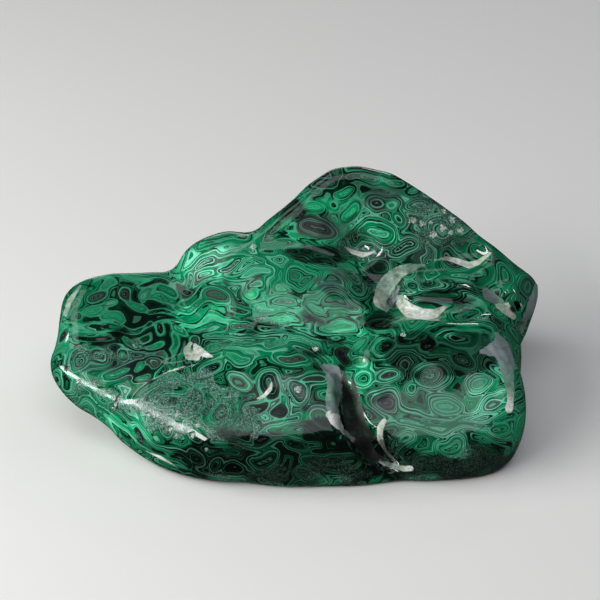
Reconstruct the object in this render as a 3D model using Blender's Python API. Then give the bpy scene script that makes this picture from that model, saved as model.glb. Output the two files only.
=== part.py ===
# A polished freeform of malachite, about a hand and a half long, all one solid.
# Rounded lobes have grown together in front of a standing slab. A cleft parts the front
# swell from the right lobe, a valley runs behind the swell, and a scooped hollow lies in
# front of the slab. The stone rests on the flat ground under all its lobes.
#
# The form is a distance field drawn in millimetres: each lobe is a rounded box or ball,
# joined to its neighbours with a soft seam. The field is skinned on a grid, and the skin
# is thinned where it is nearly flat. Metres, +Z up, front towards -Y, origin under the
# middle of the stone.

from math import cos, radians, sin

import bpy
import numpy as np

MM = 0.001
STONE_LENGTH = 253.0      # left foot to right corner
STONE_DEPTH = 161.0       # front swell to the slab's back
STONE_HEIGHT = 107.0      # base to the slab's tip

SEAM = 6.5                # width of the rounded seam between two lobes
SLAB_EDGE = 12.0          # rounding of the slab's edges
BASE_EDGE = 3.0           # rounding where the sides meet the flat base
GRID_STEP = 2.2           # spacing of the grid that the form is skinned on
SETTLE_ROUNDS = 3         # times the skin is evened out and put back on the form
FACETS = 9000             # triangles kept, most of them where the form bends
BASE_SNAP = 0.08          # a point this near the base lies on it
GRID_LOW = (-135.0, -95.0, -5.0)
GRID_HIGH = (135.0, 105.0, 120.0)
PROBE = 0.05              # step for the slope of the field

# The slab's faces, each a direction out of the stone and a point on the face.
SLAB_FACES = [
    ((0.09, -0.87, 0.49), (51, 47, 61)),      # broad front face
    ((0.62, 0.42, 0.66), (87, 58, 84)),       # long edge down to the right corner
    ((-0.66, 0.40, 0.62), (-7, 54, 98)),      # short edge down to the hump
    ((0.05, 0.98, 0.11), (40, 86, 60)),       # back
    ((0.10, 0.10, 0.99), (28, 68, 113)),      # tip
    ((-0.90, 0.30, -0.20), (-34, 48, 36)),    # left end
    ((0.92, -0.22, -0.32), (128, 43, 50)),    # right corner
    ((0.50, 0.60, -0.60), (104, 64, 18)),     # undercut below the right corner
]

# Routes of what is hollowed out, each a list of a point and the radius there.
VALLEY = [
    ((-78, 2, 57), 10), ((-45, 3, 60), 11), ((-14, -2, 61.5), 11),
    ((6, -12, 58.5), 10), ((19, -27, 51), 7),
]
CLEFT_MOUTH = [
    ((20, -30, 45), 1.5), ((22, -40, 39), 4.0), ((24, -52, 31), 5.0),
    ((34, -60, 21), 7.0), ((43, -63, 14), 5.0), ((52, -64, 9), 2.5),
]
CLEFT_FLOOR = [
    ((19, -28, 40), 1.5), ((22, -36, 32), 3.5), ((25, -47, 23), 4.0),
    ((35, -53, 15), 5.0), ((44, -57, 11), 3.5),
]

# Polished malachite: a deep, slightly bluish green with a glassy finish.
MALACHITE_COLOUR = (0.010, 0.205, 0.095, 1.0)
MALACHITE_ROUGHNESS = 0.12

CORNERS = [(x, y, z) for x in (0, 1) for y in (0, 1) for z in (0, 1)]
CELL_EDGES = [
    (a, b) for a in range(8) for b in range(a + 1, 8)
    if sum(abs(i - j) for i, j in zip(CORNERS[a], CORNERS[b])) == 1
]


def soft_min(a, b, width):
    gap = np.maximum(width - np.abs(a - b), 0) / width
    return np.minimum(a, b) - gap * gap * width / 4


def soft_max(a, b, width):
    return -soft_min(-a, -b, width)


def turned(p, yaw, pitch, roll):
    z, y, x = radians(yaw), radians(pitch), radians(roll)
    about_z = np.array([[cos(z), -sin(z), 0], [sin(z), cos(z), 0], [0, 0, 1]])
    about_y = np.array([[cos(y), 0, sin(y)], [0, 1, 0], [-sin(y), 0, cos(y)]])
    about_x = np.array([[1, 0, 0], [0, cos(x), -sin(x)], [0, sin(x), cos(x)]])
    return p @ (about_z @ about_y @ about_x)


def lobe(p, centre, half, turn=(0, 0, 0), power=2.6):
    # A ball at power 2 that squares up as the power grows.
    q = turned(p - np.array(centre), *turn)
    reach = np.linalg.norm(q, axis=1) + 1e-6
    level = (np.abs(q / np.array(half)) ** power).sum(axis=1) ** (1 / power) + 1e-9
    return reach * (1 - 1 / level)


def above(p, normal, point):
    n = np.array(normal, dtype=float)
    return (p - np.array(point)) @ (n / np.linalg.norm(n))


def route(p, stops, width=4.0):
    field = None
    for (start, start_radius), (end, end_radius) in zip(stops, stops[1:]):
        a = np.array(start, dtype=float)
        run = np.array(end, dtype=float) - a
        share = np.clip(((p - a) @ run) / (run @ run), 0, 1)
        radius = start_radius + (end_radius - start_radius) * share
        piece = np.linalg.norm(p - a - share[:, None] * run, axis=1) - radius
        field = piece if field is None else soft_min(field, piece, width)
    return field


def standing_slab(p):
    field = None
    for normal, point in SLAB_FACES:
        face = above(p, normal, point)
        field = face if field is None else soft_max(field, face, SLAB_EDGE)
    return field


def front_swell(p):
    body = lobe(p, (-27, -23, 23), (58, 42, 35), (-12, 0, 0), 2.7)
    body = soft_max(body, above(p, (-0.10, -0.48, 0.87), (-23, -14, 54)), 14)
    return soft_max(body, above(p, (-0.26, 0.30, 0.92), (-36, -16, 51)), 5)


def front_toe(p):
    return lobe(p, (12, -37, 10), (48, 28, 22))


def left_foot(p):
    body = lobe(p, (-72, -8, 25), (58, 34, 20), (-30, 7, 0))
    return soft_max(body, above(p, (-0.05, -0.12, 0.99), (-90, 0, 40)), 8)


def left_toe(p):
    return lobe(p, (-57, -28, 15), (44, 25, 20), (-36, 0, 0))


def left_shelf(p):
    body = lobe(p, (-63, 30, 31), (62, 28, 34), power=3.8)
    return soft_max(body, above(p, (-0.02, -0.36, 0.93), (-85, 40, 54)), 10)


def middle_hump(p):
    return lobe(p, (-10, 35.5, 40.8), (62.5, 36, 24), (-27, 10, 36))


def right_lobe(p):
    body = lobe(p, (67, -20, 23), (45, 43, 37), (6, 0, 0), 2.7)
    return soft_max(body, above(p, (0.05, -0.50, 0.86), (76, -5, 56)), 12)


def right_foot(p):
    return lobe(p, (74, 20, 26), (40, 34, 28))


def core(p):
    return lobe(p, (10, 14, 22), (90, 52, 24))


def back_swells(p):
    field = lobe(p, (60, 58, 27), (50, 26, 31), (14, 0, 0), 2.5)
    field = soft_min(field, lobe(p, (-8, 62, 34), (46, 22, 32), (-10, 0, 0), 2.5), 5)
    return soft_min(field, lobe(p, (-62, 42, 18), (40, 24, 20), (16, 0, 0), 2.5), 5)


def scooped_hollow(p):
    return lobe(p, (74, 20, 68), (35, 20, 17), (4, 4, 0), 2.2)


def hollow_lens(p):
    # The low lens of stone left standing inside the scooped hollow.
    return lobe(p, (85, 39, 46), (37, 19, 12.5), (10, 10, -6), 2.3)


def side_dish(p):
    return np.linalg.norm(p - np.array([101, 37.5, 58]), axis=1) - 11


def stone(p):
    lobes = (
        left_foot, left_toe, left_shelf, middle_hump, front_swell, front_toe,
        right_lobe, right_foot, core, back_swells, standing_slab,
    )
    field = lobes[0](p)
    for part in lobes[1:]:
        field = soft_min(field, part(p), SEAM)
    field = soft_max(field, -route(p, VALLEY, 8), 7)
    field = soft_max(field, -scooped_hollow(p), 5)
    field = soft_min(field, hollow_lens(p), 5)
    field = soft_max(field, -side_dish(p), 4)
    cleft = soft_min(route(p, CLEFT_MOUTH), route(p, CLEFT_FLOOR), 7)
    field = soft_max(field, -cleft, 4)
    return soft_max(field, -p[:, 2], BASE_EDGE)


def grid_values(low, high, step):
    counts = [int(np.ceil((b - a) / step)) + 1 for a, b in zip(low, high)]
    axes = [a + step * np.arange(n) for a, n in zip(low, counts)]
    values = np.empty(counts)
    for i, x in enumerate(axes[0]):
        sheet = np.stack(np.meshgrid([x], axes[1], axes[2], indexing="ij"), axis=-1)
        values[i] = stone(sheet.reshape(-1, 3)).reshape(counts[1:])
    return values


def crossing_points(values, low, step):
    # One point in each grid cell that the surface passes through, with its number.
    cells = [n - 1 for n in values.shape]
    total = np.zeros(cells)
    place = np.zeros((*cells, 3))
    for a, b in CELL_EDGES:
        at_a = tuple(slice(o, o + n) for o, n in zip(CORNERS[a], cells))
        at_b = tuple(slice(o, o + n) for o, n in zip(CORNERS[b], cells))
        va, vb = values[at_a], values[at_b]
        crossed = (va < 0) != (vb < 0)
        share = np.where(crossed, va / np.where(crossed, va - vb, 1), 0)
        spot = np.array(CORNERS[a]) + share[..., None] * (np.array(CORNERS[b]) - CORNERS[a])
        place += np.where(crossed[..., None], spot, 0)
        total += crossed
    used = total > 0
    number = np.full(cells, -1)
    number[used] = np.arange(used.sum())
    points = np.array(low) + step * (np.argwhere(used) + place[used] / total[used][:, None])
    return points, number


def crossing_faces(values, number):
    # A square for each grid edge that the surface passes through, facing outwards.
    inside = values < 0
    faces = []
    for axis in range(3):
        u, v = [(1, 2), (2, 0), (0, 1)][axis]
        start = [slice(1, n - 1) for n in values.shape]
        start[axis] = slice(0, values.shape[axis] - 1)
        end = list(start)
        end[axis] = slice(1, values.shape[axis])
        first, second = inside[tuple(start)], inside[tuple(end)]
        flips = np.argwhere(first != second)
        base = flips + np.array([0 if i == axis else 1 for i in range(3)])
        corners = []
        for du, dv in ((0, 0), (-1, 0), (-1, -1), (0, -1)):
            cell = base.copy()
            cell[:, u] += du
            cell[:, v] += dv
            corners.append(number[tuple(cell.T)])
        squares = np.stack(corners, axis=1)
        outward = first[tuple(flips.T)]
        squares[~outward] = squares[~outward][:, ::-1]
        faces.append(squares)
    return np.concatenate(faces)


def slope(p):
    gradient = np.empty_like(p)
    for i in range(3):
        step = np.zeros(3)
        step[i] = PROBE
        gradient[:, i] = (stone(p + step) - stone(p - step)) / (2 * PROBE)
    return gradient


def settled(points, faces):
    # Slides the points along the skin to even it out, and puts them back on the form.
    rim = np.concatenate([faces[:, [i, (i + 1) % 4]] for i in range(4)])
    rim = np.concatenate([rim, rim[:, ::-1]])
    degree = np.bincount(rim[:, 0], minlength=len(points))[:, None]
    for turn in range(SETTLE_ROUNDS):
        for _ in range(2):
            gradient = slope(points)
            steep = np.maximum((gradient * gradient).sum(axis=1), 1e-4)
            points = points - (stone(points) / steep)[:, None] * gradient
        if turn < SETTLE_ROUNDS - 1:
            sums = [
                np.bincount(rim[:, 0], weights=points[rim[:, 1], i], minlength=len(points))
                for i in range(3)
            ]
            move = np.stack(sums, axis=1) / degree - points
            normal = gradient / np.linalg.norm(gradient, axis=1)[:, None]
            points = points + 0.6 * (move - (move * normal).sum(axis=1)[:, None] * normal)
    return points


def add_object(name, points, faces):
    mesh = bpy.data.meshes.new(name)
    mesh.from_pydata(points.tolist(), [], faces.tolist())
    obj = bpy.data.objects.new(name, mesh)
    bpy.context.scene.collection.objects.link(obj)
    return obj


def thin_out(obj, facets):
    triangles = sum(len(polygon.vertices) - 2 for polygon in obj.data.polygons)
    decimate = obj.modifiers.new("thin out", "DECIMATE")
    decimate.ratio = facets / triangles
    decimate.use_collapse_triangulate = True
    evaluated = obj.evaluated_get(bpy.context.evaluated_depsgraph_get())
    thinned = bpy.data.meshes.new_from_object(evaluated)
    thinned.name = obj.name
    obj.modifiers.clear()
    obj.data = thinned


def fit_to_size(mesh):
    # Brings the stone to its real length, depth and height, centred over the origin.
    flat = np.empty(len(mesh.vertices) * 3, dtype=np.float32)
    mesh.vertices.foreach_get("co", flat)
    points = flat.reshape(-1, 3).astype(float)
    points[:, 2][points[:, 2] < BASE_SNAP] = 0.0
    low, high = points.min(axis=0), points.max(axis=0)
    size = np.array([STONE_LENGTH, STONE_DEPTH, STONE_HEIGHT]) * MM
    middle = (low + high) / 2
    middle[2] = low[2]
    points = (points - middle) * size / (high - low)
    mesh.vertices.foreach_set("co", points.astype(np.float32).ravel())
    mesh.update()


def malachite():
    material = bpy.data.materials.new("polished malachite")
    material.use_nodes = True
    shader = material.node_tree.nodes["Principled BSDF"]
    shader.inputs["Base Color"].default_value = MALACHITE_COLOUR
    shader.inputs["Roughness"].default_value = MALACHITE_ROUGHNESS
    shader.inputs["Metallic"].default_value = 0.0
    return material


def build_stone():
    values = grid_values(GRID_LOW, GRID_HIGH, GRID_STEP)
    points, number = crossing_points(values, GRID_LOW, GRID_STEP)
    faces = crossing_faces(values, number)
    points = settled(points, faces)
    obj = add_object("malachite_stone", points, faces)
    thin_out(obj, FACETS)
    fit_to_size(obj.data)
    obj.data.materials.append(malachite())
    obj.data.shade_smooth()
    return obj


for leftover in list(bpy.data.objects):
    bpy.data.objects.remove(leftover)
build_stone()
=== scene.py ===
# A polished freeform of banded malachite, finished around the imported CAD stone.
# The script skins the same form again with a fine mesh, works the pits and the cleft into it,
# lays out the stone's growth (eyes, bands and spongy places) as attributes, and paints it by nodes.

from math import cos, pi, radians, sin

import bmesh
import bpy
import numpy as np
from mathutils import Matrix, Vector
from mathutils.kdtree import KDTree


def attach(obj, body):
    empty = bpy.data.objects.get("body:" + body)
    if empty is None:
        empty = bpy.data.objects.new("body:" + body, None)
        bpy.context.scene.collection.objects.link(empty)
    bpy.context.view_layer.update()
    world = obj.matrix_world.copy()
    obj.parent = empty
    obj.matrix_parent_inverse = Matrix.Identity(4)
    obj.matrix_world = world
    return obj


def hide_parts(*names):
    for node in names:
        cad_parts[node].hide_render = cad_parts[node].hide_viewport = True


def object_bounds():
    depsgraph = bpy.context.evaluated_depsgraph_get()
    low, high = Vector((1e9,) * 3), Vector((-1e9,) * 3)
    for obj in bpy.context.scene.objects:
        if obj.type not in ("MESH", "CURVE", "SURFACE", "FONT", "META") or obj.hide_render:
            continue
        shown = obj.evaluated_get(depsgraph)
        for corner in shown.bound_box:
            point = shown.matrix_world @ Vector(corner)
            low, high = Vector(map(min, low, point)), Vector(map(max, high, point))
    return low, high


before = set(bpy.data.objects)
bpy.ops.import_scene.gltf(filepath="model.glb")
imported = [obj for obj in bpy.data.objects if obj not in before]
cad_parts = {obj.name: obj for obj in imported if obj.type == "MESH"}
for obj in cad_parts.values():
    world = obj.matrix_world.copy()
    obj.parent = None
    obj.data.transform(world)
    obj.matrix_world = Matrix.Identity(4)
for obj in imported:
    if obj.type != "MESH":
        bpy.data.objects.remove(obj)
cadLow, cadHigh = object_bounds()
mm = 0.001

# The form, in millimetres: every lobe's middle, half sizes, turn about z, y and x, squareness,
# and the flats that are ground on it (direction, point on the flat, rounding).
form = {
    "seam": 6.5,
    "slabEdge": 12.0,
    "baseEdge": 3.0,
    "lobes": {
        "left foot": ((-72, -8, 25), (58, 34, 20), (-30, 7, 0), 2.6,
                      [((-0.05, -0.12, 0.99), (-90, 0, 40), 8)]),
        "left toe": ((-57, -28, 15), (44, 25, 20), (-36, 0, 0), 2.6, []),
        "left shelf": ((-63, 30, 31), (62, 28, 34), (0, 0, 0), 3.8,
                       [((-0.02, -0.36, 0.93), (-85, 40, 54), 10)]),
        "middle hump": ((-10, 35.5, 40.8), (62.5, 36, 24), (-27, 10, 36), 2.6, []),
        "front swell": ((-27, -23, 23), (58, 42, 35), (-12, 0, 0), 2.7,
                        [((-0.10, -0.48, 0.87), (-23, -14, 54), 14),
                         ((-0.26, 0.30, 0.92), (-36, -16, 51), 5)]),
        "front toe": ((12, -37, 10), (48, 28, 22), (0, 0, 0), 2.6, []),
        "right lobe": ((67, -20, 23), (45, 43, 37), (6, 0, 0), 2.7,
                       [((0.05, -0.50, 0.86), (76, -5, 56), 12)]),
        "right foot": ((74, 20, 26), (40, 34, 28), (0, 0, 0), 2.6, []),
        "core": ((10, 14, 22), (90, 52, 24), (0, 0, 0), 2.6, []),
    },
    "backSwells": [
        ((60, 58, 27), (50, 26, 31), (14, 0, 0), 2.5, []),
        ((-8, 62, 34), (46, 22, 32), (-10, 0, 0), 2.5, []),
        ((-62, 42, 18), (40, 24, 20), (16, 0, 0), 2.5, []),
    ],
    "slabFaces": [
        ((0.09, -0.87, 0.49), (51, 47, 61)),      # broad front face
        ((0.62, 0.42, 0.66), (87, 58, 84)),       # long edge down to the right corner
        ((-0.66, 0.40, 0.62), (-7, 54, 98)),      # short edge down to the hump
        ((0.05, 0.98, 0.11), (40, 86, 60)),       # back
        ((0.10, 0.10, 0.99), (28, 68, 113)),      # tip
        ((-0.90, 0.30, -0.20), (-34, 48, 36)),    # left end
        ((0.92, -0.22, -0.32), (128, 43, 50)),    # right corner
        ((0.50, 0.60, -0.60), (104, 64, 18)),     # undercut below the right corner
    ],
    "scoop": ((74, 20, 68), (35, 20, 17), (4, 4, 0), 2.2, []),
    "scoopLens": ((85, 39, 46), (37, 19, 12.5), (10, 10, -6), 2.3, []),
    "dish": ((101, 37.5, 58), 11),
    # small dents ground into the face, and low ridges left in the cleft
    "dents": [
        ((31, 49, 72.5), (11, 12, 9), (0, 0, 0), 2.0, []),       # at the slab's foot
        ((87, 51, 68), (15, 12, 9), (0, 0, 0), 2.0, []),         # behind the scoop
        ((-52, -3, 52), (8, 15, 9.5), (-20, 0, 0), 2.0, []),     # behind the swell's left end
    ],
    "cleftLip": [((39.5, -53.5, 27.5), 1.6), ((37, -54, 21), 1.8), ((38.5, -54.5, 15.5), 1.8),
                 ((43, -56.5, 10.5), 1.6)],
    "cleftTongue": [((40, -53, 7.5), 1.9), ((46.5, -55.5, 8), 1.9), ((53, -59, 9), 1.8)],
    # routes of what is hollowed out: each stop is a point and the radius there
    "valley": [((-78, 2, 57), 10), ((-45, 3, 60), 11), ((-14, -2, 61.5), 11),
               ((6, -12, 58.5), 10), ((19, -27, 51), 7)],
    "dishHole": [((111.5, 33, 47), 2.8), ((110, 43, 41), 2.4)],
    "cleftMouth": [((20, -30, 45), 1.5), ((22, -40, 39), 4.0), ((24, -52, 31), 5.0),
                   ((34, -60, 21), 7.0), ((43, -63, 14), 5.0), ((52, -64, 9), 2.5)],
    "cleftFloor": [((19, -28, 40), 1.5), ((22, -36, 32), 3.5), ((25, -47, 23), 4.0),
                   ((35, -53, 15), 5.0), ((44, -57, 11), 3.5)],
}

# How far the polished faces bulge: the middle of each, how far it reaches and how high, mm.
crowns = {
    "lobe top": ((72, -26, 46), 42, 1.5),
    "swell top": ((-24, -20, 52), 42, 1.4),
    "shelf": ((-82, 22, 48), 34, 1.0),
    "foot": ((-88, -8, 38), 30, 0.9),
    "slab face": ((42, 46, 84), 44, 1.0),
}

skin = {
    "step": 1.35,           # spacing of the skin's points, mm
    "low": (-135.0, -95.0, -5.0),
    "high": (135.0, 105.0, 120.0),
    "rounds": 2,            # times the skin is evened out
    "waviness": 0.16,       # how far hand polishing leaves the surface uneven, mm
    "waveLength": 17.0,     # and over what length, mm
    "crustLumps": 0.35,     # how lumpy the unpolished crust is, mm
    "clear": (1.0, 6.0),    # the waves start this high over the base and grow over this height
    "finer": (2.0, 1.2),    # the mesh is split this near to a pit, each time into halves, mm
    "seamReach": 3.0,       # and this near to a seam
    "baseSnap": 0.3,        # points this near the base lie on it, mm
}

# The picture that the eyes and pits are placed in: 600 pixels wide, half a millimetre to a pixel
# at the target, seen from the front and above.
view = {
    "target": (0.0, 0.0, 70.0),
    "distance": 1100.0,
    "elevation": 30.0,
    "pixel": 0.5,
    "middle": 300.0,
    "sensor": 36.0,
    "start": 930.0,          # how far from the camera a look into the stone starts, mm
    "steps": 120,            # its steps at most, and the share of the way left in each
    "stride": 0.75,
    "shift": (0.89, -13.45, 0.0),    # from the form's origin to the solid's, mm
}


def softMin(a, b, width):
    gap = np.maximum(width - np.abs(a - b), 0) / width
    return np.minimum(a, b) - gap * gap * width / 4


def softMax(a, b, width):
    return -softMin(-a, -b, width)


def turned(p, yaw, pitch, roll):
    z, y, x = radians(yaw), radians(pitch), radians(roll)
    aboutZ = np.array([[cos(z), -sin(z), 0], [sin(z), cos(z), 0], [0, 0, 1]])
    aboutY = np.array([[cos(y), 0, sin(y)], [0, 1, 0], [-sin(y), 0, cos(y)]])
    aboutX = np.array([[1, 0, 0], [0, cos(x), -sin(x)], [0, sin(x), cos(x)]])
    return p @ (aboutZ @ aboutY @ aboutX)


def above(p, normal, point):
    n = np.array(normal, dtype=float)
    return (p - np.array(point)) @ (n / np.linalg.norm(n))


def lobe(p, shape):
    centre, half, turn, power, flats = shape
    q = turned(p - np.array(centre), *turn)
    reach = np.linalg.norm(q, axis=1) + 1e-6
    level = (np.abs(q / np.array(half)) ** power).sum(axis=1) ** (1 / power) + 1e-9
    body = reach * (1 - 1 / level)
    for normal, point, rounding in flats:
        body = softMax(body, above(p, normal, point), rounding)
    return body


def fromStretch(p, start, end):
    # How far along a straight stretch each point lies, from 0 to 1, and its offset from there.
    a = np.array(start, dtype=float)
    run = np.array(end, dtype=float) - a
    share = np.clip(((p - a) @ run) / (run @ run), 0, 1)
    return share, p - a - share[:, None] * run


def route(p, stops, width=4.0):
    field = None
    for (start, startRadius), (end, endRadius) in zip(stops, stops[1:]):
        share, offset = fromStretch(p, start, end)
        piece = np.linalg.norm(offset, axis=1) - (startRadius + (endRadius - startRadius) * share)
        field = piece if field is None else softMin(field, piece, width)
    return field


def standingSlab(p):
    field = None
    for normal, point in form["slabFaces"]:
        face = above(p, normal, point)
        field = face if field is None else softMax(field, face, form["slabEdge"])
    return field


def stone(p):
    # The distance to the stone's skin, negative inside, as the CAD draws it.
    field = None
    for shape in form["lobes"].values():
        body = lobe(p, shape)
        field = body if field is None else softMin(field, body, form["seam"])
    back = None
    for shape in form["backSwells"]:
        body = lobe(p, shape)
        back = body if back is None else softMin(back, body, 5)
    field = softMin(field, back, form["seam"])
    field = softMin(field, standingSlab(p), form["seam"])
    field = softMax(field, -route(p, form["valley"], 8), 7)
    field = softMax(field, -lobe(p, form["scoop"]), 5)
    field = softMin(field, lobe(p, form["scoopLens"]), 5)
    dishCentre, dishRadius = form["dish"]
    field = softMax(field, dishRadius - np.linalg.norm(p - np.array(dishCentre), axis=1), 4)
    field = softMax(field, -route(p, form["dishHole"]), 2)
    cleft = softMin(route(p, form["cleftMouth"]), route(p, form["cleftFloor"]), 7)
    field = softMax(field, -cleft, 4)
    for shape in form["dents"]:
        field = softMax(field, -lobe(p, shape), 2.5)
    field = softMin(field, route(p, form["cleftLip"], 1.5), 1.5)
    field = softMin(field, route(p, form["cleftTongue"], 1.5), 1.5)
    return softMax(field, -p[:, 2], form["baseEdge"])


def slope(p, probe=0.05):
    # The field's gradient, from four probes.
    total = np.zeros_like(p)
    for corner in ((1, -1, -1), (-1, -1, 1), (-1, 1, -1), (1, 1, 1)):
        way = np.array(corner, dtype=float)
        total += way * stone(p + probe * way)[:, None]
    return total / (4 * probe)


def ontoSkin(p):
    gradient = slope(p)
    steep = np.maximum((gradient * gradient).sum(axis=1), 1e-4)
    return p - (stone(p) / steep)[:, None] * gradient, gradient


def gridValues(low, high, step, block=4):
    # Coarse blocks first, then every point of the blocks that the skin passes near.
    blocks = [int(np.ceil((b - a) / (step * block))) + 1 for a, b in zip(low, high)]
    middles = [a + step * (block * np.arange(n) + (block - 1) / 2) for a, n in zip(low, blocks)]
    rough = stone(np.stack(np.meshgrid(*middles, indexing="ij"), axis=-1).reshape(-1, 3))
    values = rough.reshape(blocks)
    for axis in range(3):
        values = values.repeat(block, axis=axis)
    near = np.abs(values) < block * step * 1.25
    spots = np.array(low) + step * np.argwhere(near)
    values[near] = stone(spots)
    return values


def skinned(values, low, step):
    # A point in each cell that the skin passes through, and a square for each crossed edge.
    corners = [(x, y, z) for x in (0, 1) for y in (0, 1) for z in (0, 1)]
    cells = [n - 1 for n in values.shape]
    inside = values < 0
    filled = sum(inside[tuple(slice(o, o + n) for o, n in zip(a, cells))].astype(int)
                 for a in corners)
    live = np.argwhere((filled > 0) & (filled < 8))
    total = np.zeros(len(live))
    place = np.zeros((len(live), 3))
    for a in corners:
        for b in corners:
            if a >= b or sum(abs(i - j) for i, j in zip(a, b)) != 1:
                continue
            va = values[tuple((live + a).T)]
            vb = values[tuple((live + b).T)]
            crossed = (va < 0) != (vb < 0)
            share = np.where(crossed, va / np.where(crossed, va - vb, 1), 0)
            spot = np.array(a) + share[:, None] * (np.array(b) - np.array(a))
            place += np.where(crossed[:, None], spot, 0)
            total += crossed
    number = np.full(cells, -1)
    number[tuple(live.T)] = np.arange(len(live))
    points = np.array(low) + step * (live + place / total[:, None])
    squares = []
    for axis in range(3):
        u, v = [(1, 2), (2, 0), (0, 1)][axis]
        start = [slice(1, n - 1) for n in values.shape]
        start[axis] = slice(0, values.shape[axis] - 1)
        end = list(start)
        end[axis] = slice(1, values.shape[axis])
        first, second = inside[tuple(start)], inside[tuple(end)]
        flips = np.argwhere(first != second)
        base = flips + np.array([0 if i == axis else 1 for i in range(3)])
        ring = []
        for du, dv in ((0, 0), (-1, 0), (-1, -1), (0, -1)):
            cell = base.copy()
            cell[:, u] += du
            cell[:, v] += dv
            ring.append(number[tuple(cell.T)])
        ring = np.stack(ring, axis=1)
        outward = first[tuple(flips.T)]
        ring[~outward] = ring[~outward][:, ::-1]
        squares.append(ring)
    return points, np.concatenate(squares)


def evenedOut(points, faces, rounds):
    rim = np.concatenate([faces[:, [i, (i + 1) % 4]] for i in range(4)])
    rim = np.concatenate([rim, rim[:, ::-1]])
    degree = np.bincount(rim[:, 0], minlength=len(points))[:, None]
    for _ in range(rounds):
        points, gradient = ontoSkin(points)
        sums = [np.bincount(rim[:, 0], weights=points[rim[:, 1], i], minlength=len(points))
                for i in range(3)]
        move = np.stack(sums, axis=1) / degree - points
        normal = gradient / np.linalg.norm(gradient, axis=1)[:, None]
        points = points + 0.6 * (move - (move * normal).sum(axis=1)[:, None] * normal)
    return ontoSkin(points)[0]


# The camera's own axes, for placing what is seen in the picture
lift = radians(view["elevation"])
toCamera = np.array([0.0, -cos(lift), sin(lift)])
across = np.array([1.0, 0.0, 0.0])
upwards = np.cross(toCamera, across)
cameraAxes = np.stack([across, upwards, toCamera], axis=1)
eyePoint = np.array(view["target"]) + toCamera * view["distance"]


def lookedUp(pixels):
    # The points of the stone that the picture shows at these pixels.
    pixels = np.array(pixels, dtype=float)
    aim = (np.array(view["target"]) + across * (pixels[:, :1] - view["middle"]) * view["pixel"]
           + upwards * (view["middle"] - pixels[:, 1:]) * view["pixel"])
    ray = aim - eyePoint
    ray /= np.linalg.norm(ray, axis=1)[:, None]
    reach = np.full(len(ray), view["start"])
    for _ in range(view["steps"]):
        reach += np.clip(stone(eyePoint + ray * reach[:, None]) * view["stride"], -3, 8)
    return eyePoint + ray * reach[:, None]


def seenAt(pixels):
    return np.array([seenPlaces[tuple(pixel)] for pixel in pixels])


def wander(p, size, seed, waves=14):
    # A smooth random field of unit strength whose swells are about size apart.
    draw = np.random.default_rng(seed)
    way = draw.normal(size=(waves, 3))
    way *= (2 * pi / size * draw.uniform(0.6, 1.3, waves) / np.linalg.norm(way, axis=1))[:, None]
    return np.cos(p @ way.T + draw.uniform(0, 2 * pi, waves)).sum(axis=1) * (2 / waves) ** 0.5


def smooth(x):
    x = np.clip(x, 0, 1)
    return x * x * (3 - 2 * x)


# Pits of the polished face: place in the picture, radius and depth in mm.
pits = {
    "foot": [((67, 368), 1.5, 2.4), ((78, 382), 0.7, 0.6)],
    "swell": [((148, 415), 1.1, 0.9), ((176, 415), 1.3, 0.9), ((170, 429), 1.0, 0.8),
              ((176, 436), 1.2, 0.9), ((192, 435), 1.5, 1.1), ((197, 426), 1.0, 0.8),
              ((206, 450), 0.9, 0.7), ((139, 402), 0.8, 0.6), ((162, 422), 0.8, 0.6),
              ((297, 390), 1.6, 1.0), ((315, 349), 1.4, 1.0)],
    "hump": [((252, 247), 1.5, 1.0)],
    "slab": [((412, 220), 1.9, 1.2), ((421, 223), 1.6, 1.1), ((433, 234), 1.9, 1.2),
             ((442, 228), 1.7, 1.1), ((443, 211), 1.6, 1.1), ((452, 220), 1.7, 1.1),
             ((460, 230), 1.8, 1.2), ((430, 222), 1.1, 0.8), ((450, 232), 1.2, 0.8)],
    "right lobe": [((426, 374), 1.0, 0.7), ((434, 378), 1.1, 0.7), ((428, 382), 0.9, 0.6),
                   ((403, 335), 1.3, 0.9)],
}
pitList = [pit for group in pits.values() for pit in group]
# and the open seam on the foot: its stops, half width and depth
seams = {
    "foot slit": (((119, 396), (116, 403), (113, 410)), 0.7, 1.2),
}


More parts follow.
